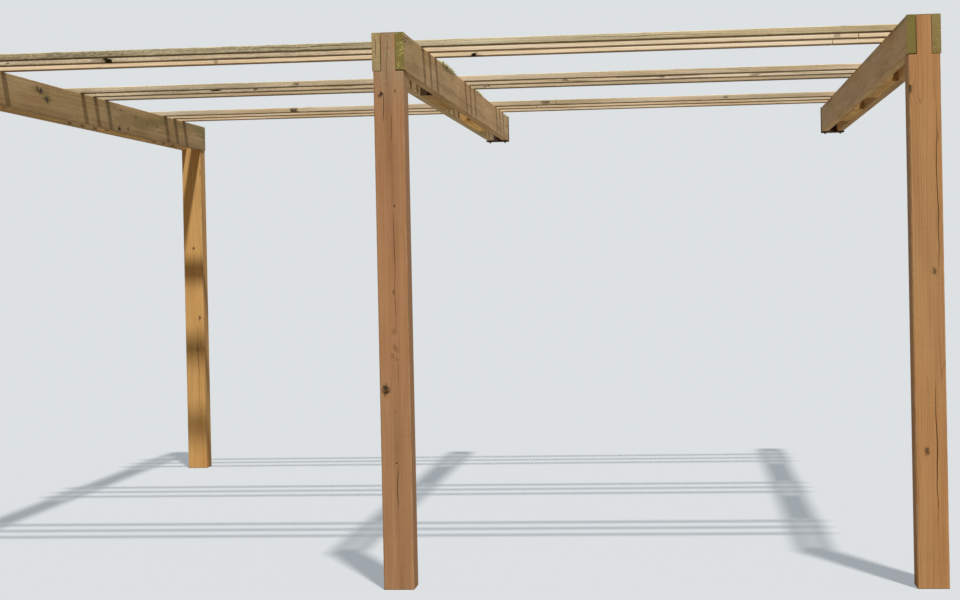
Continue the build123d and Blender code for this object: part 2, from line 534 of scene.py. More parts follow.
    # Dull all over and duller where worn; fibres, saw marks, crusts and checks in relief
    rough = add("Math", {0: pattern["streaks"], 1: 0.22, 2: 0.56}, operation="MULTIPLY_ADD")
    rough = add("Math", {0: worn, 1: 0.12, 2: rough}, operation="MULTIPLY_ADD")
    height = add("Math", {0: late, 1: 0.3}, operation="MULTIPLY")
    mould = add("Math", {0: mask["speckles"], 1: worn}, operation="MULTIPLY")
    for relief, share in (
        (pattern["fibres"], 0.5),
        (pattern["saw marks"], 0.25),
        (mould, 0.5),
        (check, -1.6),
        (given["Knot"], 0.6),
        (crust, 1.2),
    ):
        height = add("Math", {0: relief, 1: share, 2: height}, operation="MULTIPLY_ADD")
    for label, value in (("Colour", colour), ("Roughness", rough), ("Height", height)):
        tree.links.new(value, result.inputs[label])
    return tree


def shared_group(name, maker):
    return bpy.data.node_groups.get(name) or maker()


# What each kind of timber's underside keeps of its colour. This is painted light and shade on faces
# that look down: painted light brightens the undersides of beams and spacers, and painted shade,
# with some real grime, darkens those of the battens
UNDERSIDE_LIGHT_AND_GRIME = {
    "post": (1.0, 1.0, 1.0, 1.0),
    "beam": (1.22, 1.25, 1.32, 1.0),
    "batten": (0.44, 0.38, 0.32, 1.0),
    "spacer": (1.5, 1.6, 1.5, 1.0),
}

# Rotation that lays a timber's own X axis along each world axis
LAY = {X: (0, 0, 0), Y: (0, 0, math.radians(90)), Z: (0, math.radians(-90), 0)}


def in_timber(point, axis):
    """A world step in the timber's own frame, as the Mapping node turns it."""
    x, y, z = point
    return {X: (x, y, z), Y: (y, -x, z), Z: (z, y, -x)}[axis]


def shaded(colour, shade, warmth=0.0, gold=0.0):
    """A wood colour, lighter or darker and redder or yellower as this timber is."""
    red, green, blue, alpha = colour
    return (
        min(red * shade * (1 + warmth), 1),
        min(green * shade * (1 + gold), 1),
        min(blue * shade * (1 - warmth) * (1 - 2 * gold), 1),
        alpha,
    )


def pine_material(title, node, axis, woods):
    """Sawn pine for one timber, turned and centred on it."""
    name = f"{title}, {node}"
    colours = bpy.context.scene.pergola_colours
    look = {**PLAIN_LOOK, **LOOKS.get(node, {})}
    low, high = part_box(node)
    centre, half = (low + high) / 2, (high - low) / 2
    material, tree = new_material(name)
    add = partial(add_node, tree)
    coords = add("TexCoord", {}, out="Object")
    lay = {"Vector": coords, "Location": tuple(centre), "Rotation": LAY[axis]}
    point = add("Mapping", lay, vector_type="TEXTURE")
    knot, stain, push = 0.0, 0.0, 0.0
    for face, along, height, radius, darkness, *depth in look["knots"]:
        place = Vector(on_face(node, face, along, height, *depth))
        links = {
            "Point": point,
            "Centre": in_timber(place - centre, axis),
            "Size": (radius * KNOT_STRETCH, radius, radius),
            "Darkness": darkness,
            "Mask": knot,
            "Push": push,
        }
        knot = add("Group", links, node_tree=shared_group("knot", knot_group))
        push = knot.node.outputs["Push"]
    for face, along, height, length, width, darkness in look["stains"]:
        place = Vector(on_face(node, face, along, height))
        links = {
            "Point": point,
            "Centre": in_timber(place - centre, axis),
            "Size": (length / 2, width / 2, width / 2),
            "Darkness": darkness,
            "Mask": stain,
        }
        stain = add("Group", links, node_tree=shared_group("knot", knot_group))
    dice = random.Random(name)
    pith = look["pith"]
    if not pith:
        pith = (dice.uniform(-0.02, 0.02), dice.choice((-1, 1)) * dice.uniform(0.05, 0.11))
    tint = (look["shade"], look["warmth"], look["gold"])
    links = {
        "Point": point,
        "Half size": [abs(value) for value in in_timber(half, axis)],
        "Pith": (0.0, *pith),
        "Seed": [dice.uniform(-20, 20) for _ in range(3)],
        "Early wood": shaded(getattr(colours, woods + "_wood"), *tint),
        "Late wood": shaded(getattr(colours, woods + "_grain"), *tint),
        "Ring width": look["ring"],
        "Grain": look["grain"],
        "Knot": knot,
        "Push": push,
        "Knot colour": tuple(colours.knot),
        "Stain": stain,
        "Age": look["age"],
        "Aged wood": shaded(colours.aged_wood, look["bleach"]),
        "Algae": look["algae"],
        "Algae colour": tuple(colours.algae),
        "End colour": shaded((1.0, 1.0, 1.0, 1.0), look["end"], look["end_warmth"]),
        "End film": look["film"],
        "Lichen": look["lichen"],
        "Lichen colour": tuple(colours.lichen),
        "Underside": UNDERSIDE_LIGHT_AND_GRIME[woods],
        "Checks": look["checks"],
    }
    limits = ("Weather from", "Weather to", "Weather here", "Weather there")
    links.update(zip(limits, look["weather"]))
    pine = add("Group", links, node_tree=shared_group("sawn pine", pine_group)).node.outputs
    relief = {"Height": pine["Height"], "Strength": 0.7, "Distance": 1.1 * MM}
    surface = {
        "Base Color": pine["Colour"],
        "Roughness": pine["Roughness"],
        "Normal": add("Bump", relief),
        "IOR": 1.5,
        "Specular IOR Level": 0.25,
    }
    add("OutputMaterial", {"Surface": add("BsdfPrincipled", surface)})
    return material


def metal_material(name, clean, stained, spread, metallic, roughness):
    """Steel whose skin is broken up by patches of stain about 12 mm wide.

    The clean metal gives the eye a blurred glint, and the stain is matt and brown.
    Its grit is 0.1 to 0.3 mm in life and is drawn 1.4 mm wide so that it shows.
    """
    material, tree = new_material(name)
    add = partial(add_node, tree)
    coords = add("TexCoord", {}, out="Object")
    patches = add("TexNoise", {"Vector": coords, "Scale": 1 / (12.5 * MM), "Detail": 5.0})
    grit = add("TexNoise", {"Vector": coords, "Scale": 1 / (1.4 * MM), "Detail": 3.0})
    limits = {"Value": patches, "From Min": spread, "From Max": spread + 0.18}
    stain = add("MapRange", limits, **SMOOTH)
    surface = {
        "Base Color": add("Mix", {0: stain, 6: tuple(clean), 7: tuple(stained)}, **COLOURS),
        "Roughness": add("MapRange", {"Value": stain, "To Min": roughness, "To Max": 0.9}),
        "Metallic": add("Math", {0: stain, 1: -metallic, 2: metallic}, operation="MULTIPLY_ADD"),
        "Normal": add("Bump", {"Height": grit, "Strength": 0.5, "Distance": 0.5 * MM}),
    }
    add("OutputMaterial", {"Surface": add("BsdfPrincipled", surface)})
    return material


def lichen_material():
    """Dry leafy lichen: pale crisp lobes with no shine.

    They are whitish at the tips and yellow-green between, in patches of about 17 mm.
    """
    material, tree = new_material("foliose lichen, dry")
    add = partial(add_node, tree)
    coords = add("TexCoord", {}, out="Object")
    patches = add("TexNoise", {"Vector": coords, "Scale": 1 / (17 * MM), "Detail": 3.0})
    tips, gaps = linear("#EAE6BE"), linear("#8C8A45")
    surface = {
        "Base Color": add("Mix", {0: patches, 6: tips, 7: gaps}, **COLOURS),
        "Roughness": add("MapRange", {"Value": patches, "To Min": 0.75, "To Max": 0.95}),
        "Normal": add("Bump", {"Height": patches, "Strength": 0.4, "Distance": 1 * MM}),
    }
    add("OutputMaterial", {"Surface": add("BsdfPrincipled", surface)})
    return material


# Timbers


def middle(node, axis):
    """Where the middle of a piece lies along an axis."""
    low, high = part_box(node)
    return (low[axis] + high[axis]) / 2


def on_face(node, face, along, height, depth=0.0):
    """A place on one of a piece's faces, or at a depth behind its front face.

    Along runs from the middle of a front or back face, and from the front end of a
    left or right one. Height is above the ground.
    """
    low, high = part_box(node)
    if face in SIDES:
        return (low.x if face == "left" else high.x, low.y + along, height)
    return (middle(node, X) + along, high.y if face == "back" else low.y + depth, height)


def long_timber(node, axis, arris):
    """A sawn timber with rounded arrises, cut across every few millimetres."""
    low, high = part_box(node)
    timber = block(low, high)
    bpy.ops.object.mode_set(mode="EDIT")
    choose(timber, "EDGE", lambda edge: edge_run(edge, axis) > 0)
    bpy.ops.mesh.bevel(offset=arris, segments=3, affect="EDGES")
    frame_faces(low, high, axis, arris)
    cut_across(timber, axis, (high - low)[axis])
    bpy.ops.object.mode_set(mode="OBJECT")
    return timber


def frame_faces(low, high, axis, arris):
    """In edit mode, cut the long faces just inside their arrises, so that wear stops there."""
    inset = 1.5 * arris + 1 * MM
    for side in (X, Y, Z):
        if side == axis:
            continue
        for place in (low[side] + inset, high[side] - inset):
            bpy.ops.mesh.select_all(action="SELECT")
            bpy.ops.mesh.bisect(
                plane_co=[place if i == side else 0 for i in (X, Y, Z)],
                plane_no=[1 if i == side else 0 for i in (X, Y, Z)],
            )


def cut_across(timber, axis, length):
    """In edit mode, cut the long faces across, in two rounds of fewer than 100 cuts."""
    first_cuts = max(int(math.sqrt(length / CUT_SPACING)), 2)
    stretch = length / (first_cuts + 1)
    choose(timber, "EDGE", lambda edge: edge_run(edge, axis) > 0.5 * length)
    bpy.ops.mesh.subdivide(number_cuts=first_cuts)
    choose(timber, "EDGE", lambda edge: edge_run(edge, axis) > 0.9 * stretch)
    bpy.ops.mesh.subdivide(number_cuts=max(int(stretch / CUT_SPACING), 2))


def wear_arrises(timber, low, high, axis, arris, chip):
    """Roughen the arrises, and bite a few flatter chips out of them."""
    worn = timber.vertex_groups.new(name="arris")
    edge = timber.vertex_groups.new(name="edge")
    others = [i for i in (X, Y, Z) if i != axis]
    for vertex in timber.data.vertices:
        depth = max(min(vertex.co[i] - low[i], high[i] - vertex.co[i]) for i in others)
        if depth < 0.75 * arris:
            worn.add([vertex.index], 1.0, "REPLACE")
            edge.add([vertex.index], 1.0, "REPLACE")
        elif depth < 1.1 * arris:
            edge.add([vertex.index], 0.25, "REPLACE")
    fuzz = clouds("saw fuzz", FUZZ_SIZE)
    chips = clouds("chips", CHIP_SIZE, contrast=3.2, intensity=0.82)
    displace(timber, fuzz, FUZZ_DEPTH, mid_level=1.0, vertex_group="edge")
    displace(timber, chips, chip, mid_level=1.0, vertex_group="arris")


def keep_inside(piece, low, high):
    """Put back any point that wear has pushed out of the sawn size."""
    for vertex in piece.data.vertices:
        vertex.co = [min(max(vertex.co[i], low[i]), high[i]) for i in (X, Y, Z)]


def crack(node, face, begin, end, width, depth):
    """A spindle-shaped cutter for a drying crack along one face."""
    begin, end = (Vector(on_face(node, face, *place)) for place in (begin, end))
    run = end - begin
    axis = max((X, Y, Z), key=lambda i: abs(run[i]))
    normal = X if face in SIDES else Y
    side = next(i for i in (X, Y, Z) if i not in (axis, normal))
    turn = {X: (0, math.radians(90), 0), Y: (math.radians(90), 0, 0), Z: (0, 0, 0)}[axis]
    cutter = start("uv_sphere", segments=6, ring_count=22, radius=1, rotation=turn)
    scale = [0, 0, 0]
    scale[axis] = run.length / 2
    scale[normal] = depth
    scale[side] = width / 2
    settle(cutter, (begin + end) / 2, scale)
    strength = min(CRACK_WANDER, 0.06 * run.length)
    displace(cutter, clouds("crack wander", CRACK_WAVE), strength, direction="XYZ"[side])
    return cutter


def bite(node, face, along, height, size):
    """A ragged cutter for a hole or a lost knot."""
    cutter = start("ico_sphere", subdivisions=3, radius=1, location=(0, 0, 0))
    settle(cutter, on_face(node, face, along, height), size)
    displace(cutter, clouds("bite", BITE_FLAKE), 0.35 * min(size))
    return cutter


def wounds(node):
    """Cutters for a timber's cracks, holes and lost knots."""
    cracks = [crack(node, *facts) for facts in CRACKS.get(node, ())]
    return cracks + [bite(node, *facts) for facts in BITES.get(node, ())]


def carve(timber, cutters):
    """Cut a piece with all the cutters at once, and close the pinholes that this leaves."""
    if not cutters:
        return
    cutter = join(cutters, "cutter")
    add_modifier(timber, "BOOLEAN", operation="DIFFERENCE", solver="EXACT", object=cutter)
    bpy.data.objects.remove(cutter)
    make_active(timber)
    bpy.ops.object.mode_set(mode="EDIT")
    bpy.ops.mesh.select_all(action="SELECT")
    bpy.ops.mesh.remove_doubles(threshold=SLIVER)
    bpy.ops.mesh.dissolve_degenerate(threshold=SLIVER)
    bpy.ops.mesh.select_all(action="SELECT")
    bpy.ops.mesh.fill_holes(sides=0)
    bpy.ops.object.mode_set(mode="OBJECT")


def dress(timber, node, title, woods, axis, arris, wear, cutter_groups=()):
    """Wear, carve and colour one timber. Wear is a share of the deepest chip."""
    low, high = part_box(node)
    wear_arrises(timber, low, high, axis, arris, bpy.context.scene.pergola_sizes.chip_depth * wear)
    keep_inside(timber, low, high)
    for cutters in (wounds(node), *cutter_groups):
        carve(timber, cutters)
    timber.name = f"sawn_{node}"
    hand_over(timber, pine_material(title, node, axis, woods), [node])


# What the weather and the saw left on each timber. Lengths are in metres, and places
# are as on_face takes them.

# A timber's look, where nothing else is said of it. Most values are shares.
# Shade, warmth and gold: how light, red and yellow the wood is; end and end warmth the
# same for the end grain, and bleach how light the greyed wood is
# Ring: width of a growth ring. Grain: how dark the late wood is
# Film: green film on the end grain. Pith: where it lies, or None for a drawn place
# Weather: two places along the timber, from its middle, and how bad it is at each
PLAIN_LOOK = {
    "shade": 1.0, "warmth": 0.0, "gold": 0.0, "end": 1.0, "end_warmth": 0.0, "bleach": 1.0,
    "ring": 0.0085, "grain": 0.35, "age": 0.15, "algae": 0.08, "checks": 0.35, "film": 0.2,
    "lichen": 0.0, "pith": None, "weather": (0.0, 1.0, 1.0, 1.0), "knots": (), "stains": (),
}

# Knots: face, along, height, radius, darkness and, where it is inside, depth. A knot set inside a
# hole also darkens the hollow, as painted shade
# Stains: face, along, height, length, width and darkness
LOOKS = {
    "post_front_middle": {
        "grain": 0.2, "age": 0.85, "bleach": 1.6, "weather": (0.95, 1.3, 0.07, 1.0),
        "algae": 0.0, "checks": 0.2, "pith": (0.0735, 0.011),
        "knots": (
            ("front", -0.038, 2.441, 0.0085, 1.0), ("front", -0.05, 2.43, 0.005, 0.8),
            ("front", 0.032, 2.451, 0.0065, 0.6), ("front", -0.044, 0.987, 0.018, 0.95),
            ("front", 0.004, 1.465, 0.006, 0.5), ("front", 0.004, 1.27, 0.013, 0.3),
            ("front", 0.008, 1.19, 0.012, 0.35), ("front", -0.006, 1.15, 0.01, 0.3),
            ("front", 0.017, 1.888, 0.004, 0.9), ("front", 0.012, 1.14, 0.008, 0.25),
        ),
        "stains": (("right", 0.004, 1.37, 0.25, 0.012, 0.5),),
    },
    "post_front_right": {
        "shade": 1.1, "warmth": 0.02, "gold": 0.04, "grain": 0.22, "age": 0.04,
        "algae": 0.0, "checks": 0.3,
        "knots": (
            ("front", -0.07, 2.387, 0.013, 0.85), ("front", 0.03, 1.52, 0.011, 0.7),
            ("front", -0.02, 0.66, 0.014, 0.75),
        ),
    },
    "post_front_left": {
        "age": 0.06, "algae": 0.0,
        "knots": (("front", -0.04, 1.6, 0.013, 0.8), ("front", 0.02, 0.7, 0.01, 0.6)),
    },
    "post_back_left": {
        "shade": 1.5, "gold": 0.1, "grain": 0.3, "age": 0.04, "algae": 0.0, "checks": 0.3,
        "knots": (
            ("front", 0.006, 1.76, 0.01, 0.9), ("front", 0.044, 1.203, 0.012, 0.7),
            ("front", 0.044, 1.54, 0.005, 0.6), ("front", 0.022, 0.947, 0.008, 0.5),
        ),
    },
    "beam_left_pair_right": {
        "shade": 0.73, "warmth": 0.03, "gold": 0.02, "grain": 0.3, "age": 0.06,
        "algae": 0.6, "checks": 0.25, "weather": (-0.3, 1.0, 0.15, 1.3), "ring": 0.012,
        "knots": (
            ("right", 1.775, 2.694, 0.017, 0.9), ("right", 1.825, 2.688, 0.02, 1.0),
            ("right", 1.935, 2.647, 0.021, 1.0), ("right", 2.499, 2.594, 0.006, 0.8),
            ("right", 2.728, 2.696, 0.006, 0.6), ("right", 3.195, 2.667, 0.006, 0.6),
            ("right", 3.4, 2.568, 0.022, 1.0), ("right", 3.438, 2.7, 0.012, 0.6),
            ("right", 3.605, 2.584, 0.015, 0.8), ("right", 3.793, 2.677, 0.014, 0.7),
            ("right", 4.08, 2.644, 0.012, 0.7), ("right", 4.346, 2.647, 0.013, 0.7),
            ("right", 0.6, 2.62, 0.011, 0.7),
        ),
        "stains": (
            ("right", 1.82, 2.69, 0.36, 0.05, 0.5), ("right", 1.93, 2.65, 0.2, 0.06, 0.7),
            ("right", 3.2, 2.67, 0.3, 0.05, 0.35), ("right", 3.75, 2.68, 0.4, 0.06, 0.4),
        ),
    },
    "beam_left_pair_left": {"lichen": 0.4, "film": 0.4, "algae": 0.25},
    "beam_middle_pair_left": {
        "shade": 1.2, "warmth": -0.12, "lichen": 0.3, "film": 0.15, "algae": 0.15,
        "ring": 0.0065, "pith": (-0.05, 0.06),
        "knots": (("left", 1.3, 2.64, 0.012, 0.8),),
    },
    "beam_middle_pair_right": {
        "warmth": 0.02, "grain": 0.42, "age": 0.16, "weather": (-2.2, 1.5, 1.8, 0.2),
        "algae": 0.12, "film": 0.85, "lichen": 1.0, "ring": 0.011, "pith": (0.03, 0.05),
        "checks": 0.3,
        "knots": (
            ("right", 0.045, 2.7, 0.01, 1.0), ("right", 1.367, 2.605, 0.006, 0.8),
            ("right", 2.326, 2.65, 0.012, 0.3), ("right", 3.9, 2.62, 0.008, 0.6),
        ),
        "stains": (
            ("right", 0.2, 2.715, 0.3, 0.03, 0.5), ("right", 1.76, 2.735, 0.7, 0.05, 0.6),
            ("right", 3.4, 2.735, 0.5, 0.03, 0.4),
        ),
    },
    "beam_right_pair_left": {
        "grain": 0.25, "age": 0.06, "algae": 0.06, "film": 0.95, "lichen": 0.3,
        "checks": 0.2,
        "knots": (
            ("left", 0.904, 2.603, 0.011, 0.95), ("left", 1.722, 2.699, 0.009, 0.9),
            ("left", 3.6, 2.6, 0.01, 0.8),
        ),
        "stains": (("left", 0.25, 2.735, 0.6, 0.03, 0.6),),
    },
    "beam_right_pair_right": {"lichen": 0.5, "film": 0.6, "algae": 0.2},
    # The middle pair's spacers carry painted light: the front one is darker and its end grain is
    # painted nearly black as painted shade, and the back one is lighter as if lit from the ground
    # below
    "spacer_middle_pair_front": {"shade": 0.8, "end": 0.12, "end_warmth": 0.2, "film": 0.0},
    "spacer_middle_pair_back": {"shade": 1.3},
    "spacer_left_pair_front": {"shade": 0.85, "warmth": -0.03},
    "batten_front_1": {
        "shade": 0.86, "gold": 0.03, "age": 0.85, "algae": 0.45, "checks": 0.5,
        "weather": (-2.3, 0.8, 1.3, 0.35),
    },
    "batten_front_2": {
        "shade": 1.1, "grain": 0.2, "age": 0.3, "algae": 0.1,
        "weather": (-0.4, 0.4, 1.6, 0.1),
        "knots": (
            ("front", -1.8, 2.76, 0.02, 0.35), ("front", -1.745, 2.752, 0.016, 1.0),
            # The knot at -1.742 sits inside the hole there: dark knot wood, and painted shade in
            # the hollow
            ("front", -1.742, 2.75, 0.026, 1.0, 0.026), ("front", -2.4, 2.752, 0.004, 0.7),
            ("front", -2.31, 2.753, 0.005, 0.8), ("front", 2.2, 2.757, 0.011, 0.5),
        ),
    },
    "batten_front_3": {
        "shade": 1.1, "warmth": 0.03, "grain": 0.2, "age": 0.05, "algae": 0.0,
        "knots": (
            # The knot at 0.247 sits inside the hole there: dark knot wood, and painted shade in the
            # hollow
            ("front", -1.2, 2.752, 0.009, 0.5), ("front", 0.247, 2.744, 0.02, 1.0, 0.02),
        ),
    },
    "batten_middle_1": {
        "shade": 0.92, "age": 0.35, "algae": 0.3, "weather": (-1.2, 0.8, 1.5, 0.7),
        "knots": (("front", -1.044, 2.757, 0.013, 0.75),),
    },
    "batten_middle_2": {
        "shade": 0.98, "age": 0.35, "algae": 0.0, "checks": 0.6,
        "weather": (-0.6, 0.6, 1.7, 0.4),
        "knots": (
            ("front", -1.363, 2.757, 0.008, 0.9), ("front", 0.651, 2.757, 0.011, 0.7),
            ("front", 1.26, 2.757, 0.012, 0.7),
        ),
    },
    "batten_middle_3": {
        "shade": 0.92, "age": 0.15, "algae": 0.3,
        "knots": (("front", 0.105, 2.752, 0.006, 0.9), ("front", 0.13, 2.757, 0.005, 0.8)),
    },
    "batten_back_1": {
        "shade": 0.86, "age": 0.1, "algae": 0.3,
        "knots": (
            ("front", -1.47, 2.757, 0.016, 0.9), ("front", 0.4, 2.757, 0.02, 0.7),
            ("front", 1.7, 2.757, 0.009, 0.6),
        ),
    },
    "batten_back_2": {"shade": 0.95, "warmth": 0.03, "age": 0.1, "algae": 0.05},
    "batten_back_3": {"shade": 0.95, "warmth": 0.04, "age": 0.1, "algae": 0.05},
}

# Drying cracks: face, from, to, width and depth
CRACKS = {
    "post_front_middle": (
        ("front", (0.017, 1.85), (0.005, 1.28), 0.0026, 0.018),
        ("front", (0.007, 0.6), (0.004, 0.4), 0.005, 0.015),
        ("front", (-0.029, 2.445), (-0.027, 2.3), 0.0045, 0.015),
        ("front", (0.011, 2.34), (0.01, 2.2), 0.002, 0.012),
        ("front", (-0.004, 2.73), (-0.007, 2.47), 0.0022, 0.012),
        ("right", (0.07, 2.2), (0.085, 1.1), 0.004, 0.015),
        ("left", (0.08, 1.9), (0.07, 0.7), 0.004, 0.015),
        ("back", (0.01, 2.3), (0.02, 1.2), 0.0045, 0.015),
    ),
    "post_front_right": (
        ("front", (0.055, 2.3), (0.045, 1.5), 0.004, 0.015),
        ("front", (0.02, 1.0), (0.03, 0.3), 0.0045, 0.015),
        ("left", (0.07, 2.1), (0.08, 1.0), 0.004, 0.015),
        ("back", (-0.02, 1.9), (-0.01, 0.8), 0.004, 0.015),
    ),
    "post_front_left": (
        ("front", (-0.01, 2.2), (0.005, 1.2), 0.0045, 0.016),
        ("right", (0.08, 1.6), (0.07, 0.5), 0.004, 0.015),
    ),
    "post_back_left": (
        ("front", (0.03, 1.15), (0.02, 0.5), 0.0045, 0.015),
        ("right", (0.08, 2.2), (0.09, 1.3), 0.004, 0.015),
        ("back", (0.0, 2.0), (0.02, 1.0), 0.004, 0.015),
    ),
    "beam_middle_pair_right": (
        ("right", (-0.01, 2.706), (0.09, 2.698), 0.005, 0.012),
        ("right", (0.0, 2.722), (0.16, 2.717), 0.003, 0.01),
        ("right", (5.25, 2.66), (5.55, 2.655), 0.004, 0.012),
    ),
    "beam_middle_pair_left": (("front", (-0.012, 2.71), (0.004, 2.62), 0.003, 0.02),),
    "beam_left_pair_right": (
        ("right", (5.45, 2.66), (5.73, 2.65), 0.004, 0.012),
        ("right", (-0.01, 2.62), (0.4, 2.625), 0.004, 0.012),
    ),
    "batten_middle_2": (
        ("front", (-1.67, 2.757), (-1.59, 2.752), 0.009, 0.02),
        ("front", (-1.2, 2.762), (-0.5, 2.757), 0.0035, 0.01),
        ("front", (0.9, 2.754), (1.5, 2.76), 0.0035, 0.01),
    ),
    "batten_front_1": (
        ("front", (-0.9, 2.76), (-0.35, 2.757), 0.003, 0.01),
        ("front", (0.8, 2.755), (1.6, 2.76), 0.003, 0.01),
    ),
}

# Holes and lost knots: face, along, height and half sizes
BITES = {
    "post_front_middle": (
        ("front", 0.001, 0.623, (0.0045, 0.008, 0.0055)),
        ("front", 0.009, 0.698, (0.0028, 0.006, 0.003)),
        ("front", 0.003, 0.876, (0.0028, 0.006, 0.003)),
        ("front", -0.035, 2.441, (0.0045, 0.008, 0.0045)),
        ("right", 0.001, 1.37, (0.004, 0.005, 0.11)),
    ),
    "batten_front_2": (
        ("front", -1.758, 2.762, (0.012, 0.028, 0.01)),
        ("front", -1.738, 2.744, (0.019, 0.032, 0.014)),
    ),
    "batten_front_3": (("front", 0.247, 2.742, (0.015, 0.032, 0.014)),),
    "batten_back_1": (("front", -1.46, 2.742, (0.03, 0.012, 0.01)),),
    "beam_left_pair_right": (("right", 3.387, 2.562, (0.006, 0.016, 0.011)),),
}

# Butt joints: batten and place along it
JOINTS = {
    "batten_front_2": 2.309,
    "batten_front_3": 2.195,
    "batten_back_1": 0.474,
    "batten_back_2": 0.312,
}

# Gaps at a beam's front end, in millimetres, beside the post's tongue and above its
# shoulder
HEAD_GAPS = {
    "beam_left_pair_left": (2, 2),
    "beam_left_pair_right": (2, 3),
    "beam_middle_pair_left": (3.5, 3),
    "beam_middle_pair_right": (1.5, 6),
    "beam_right_pair_left": (3, 5),
    "beam_right_pair_right": (2, 2),
}


def head_gaps(node):
    """Two cutters, each in its own list, that open the joints round a beam's front end."""
    low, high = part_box(node)
    beside, above = (gap * MM for gap in HEAD_GAPS[node])
    over = 5 * MM  # how far the cutter stands out of the beam
    inner = high.x - beside if node.endswith("left") else low.x - over
    beside_tongue = start(
        "cube",
        size=1,
        location=(inner + (beside + over) / 2, low.y, middle(node, Z)),
        scale=(beside + over, 2 * TONGUE_GAP_REACH, 210 * MM),
    )
    above_shoulder = start(
        "cube",
        size=1,
        location=(middle(node, X), low.y, low.z),
        scale=(60 * MM, 2 * SHOULDER_GAP_REACH, 2 * above),
    )
    return [[beside_tongue], [above_shoulder]]


# Fixings


def rod(radius, place, length=30 * MM, sides=24, turn=(0, 0, 0)):
    """A round head, or a cutter for a hole, along Z or turned away from it."""
    return start(
        "cylinder", vertices=sides, radius=radius, depth=length, location=place, rotation=turn
    )


def hex_head():
    """An M12 washer, a hexagon head on it and the end of its stud, looking along Z."""
    across, thick = 19 * MM, 8 * MM
    washer = 2 * MM
    ring = rod(13 * MM, (0, 0, washer / 2), washer, 28)
    head = rod(across / math.sqrt(3), (0, 0, washer + thick / 2), thick, 6)
    stud = rod(across * 0.3, (0, 0, washer + thick), thick, 16)
    for piece, width in ((ring, 0.4 * MM), (head, 0.9 * MM), (stud, 0.8 * MM)):
        make_active(piece)
        bpy.ops.object.mode_set(mode="EDIT")
        choose(piece, "EDGE", lambda edge: abs(edge.verts[0].co.z - edge.verts[1].co.z) < MM / 10)
        bpy.ops.mesh.bevel(offset=width, segments=1, affect="EDGES")
        bpy.ops.object.mode_set(mode="OBJECT")
    return join([ring, head, stud], "hex head")


def screw_places(node):
    """Where screws go down through a batten into each beam, slightly out of line."""
    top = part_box(node)[1].z
    dice = random.Random(node + " screws")
    places = []
    for pair in PAIRS:
        for side in SIDES:
            x = middle(f"beam_{pair}_pair_{side}", X) + dice.uniform(-5, 5) * MM
            y = middle(node, Y) + dice.uniform(-7, 7) * MM
            places.append(Vector((x, y, top)))
    return places


def nail_places():
    """Nails through the outer faces of the beams, into tongues and spacers."""
    dice = random.Random("nails")
    places = []
    for pair in PAIRS:
        posts = [f"post_front_{pair}"]
        if pair == "left":
            posts.append("post_back_left")
        for side in SIDES:
            low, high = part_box(f"beam_{pair}_pair_{side}")
            face, turn = (low.x, -1) if side == "left" else (high.x, 1)
            spots = [
                (middle(post, Y) + y, z)
                for post in posts
                for y in (-TONGUE_NAIL_STEP, TONGUE_NAIL_STEP)
                for z in TONGUE_NAIL_HEIGHTS
            ]
            for place in ("front", "back"):
                spacer_low, spacer_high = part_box(f"spacer_{pair}_pair_{place}")
                ends = (spacer_low.y + SPACER_NAIL_INSET, spacer_high.y - SPACER_NAIL_INSET)
                spots += [(y, z) for y in ends for z in SPACER_NAIL_HEIGHTS]
            for y, z in spots:
                along, up = dice.uniform(-6, 6) * MM, dice.uniform(-6, 6) * MM
                places.append((Vector((face, y + along, low.z + z + up)), turn))
    return places


class PERGOLA_OT_posts(bpy.types.Operator):
    """Square posts, each with a tongue that stands between two beams"""

    bl_idname = "pergola.posts"
    bl_label = "Add the posts"

    def execute(self, context):
        arris = context.scene.pergola_sizes.post_arris
        for node in [f"post_front_{pair}" for pair in PAIRS] + ["post_back_left"]:
            pair = node.rsplit("_", 1)[1]
            low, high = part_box(node)
            beam_low, beam_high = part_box(f"beam_{pair}_pair_left")
            left, shoulder = beam_high.x, beam_low.z
            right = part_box(f"beam_{pair}_pair_right")[0].x
            tongue = (left + right) / 2
            post = block(low, Vector((high.x, high.y, shoulder)))
            bpy.ops.object.mode_set(mode="EDIT")
            choose(post, "EDGE", lambda edge: edge_run(edge, Z) > 0)
            bpy.ops.mesh.bevel(offset=arris, segments=3, affect="EDGES")
            frame_faces(low, high, Z, arris)
            for side in (left, right):
                bpy.ops.mesh.select_all(action="SELECT")
                bpy.ops.mesh.bisect(plane_co=(side, 0, 0), plane_no=(1, 0, 0))
            choose(
                post,
                "FACE",
                lambda face: face.normal.z > 0.9
                and abs(face.calc_center_median().x - tongue) < 10 * MM,
            )
            extrude((0, 0, high.z - shoulder))
            choose(
                post,
                "EDGE",
                lambda edge: edge_run(edge, Z) > 0
                and all(vertex.co.z > shoulder - MM for vertex in edge.verts),
            )
            bpy.ops.mesh.bevel(offset=1.5 * MM, segments=2, affect="EDGES")
            cut_across(post, Z, shoulder - low.z)
            bpy.ops.object.mode_set(mode="OBJECT")
            dress(post, node, "oiled pine", "post", Z, arris, 1.0)
        return {"FINISHED"}


class PERGOLA_OT_beams(bpy.types.Operator):
    """Pairs of beams that grip the tongues of the posts"""

    bl_idname = "pergola.beams"
    bl_label = "Add the beams"

    def execute(self, context):
        arris = context.scene.pergola_sizes.beam_arris
        for pair in PAIRS:
            for side in SIDES:
                node = f"beam_{pair}_pair_{side}"
                cutters = head_gaps(node)
                beam = long_timber(node, Y, arris)
                dress(beam, node, "treated pine", "beam", Y, arris, 0.5, cutters)
        return {"FINISHED"}


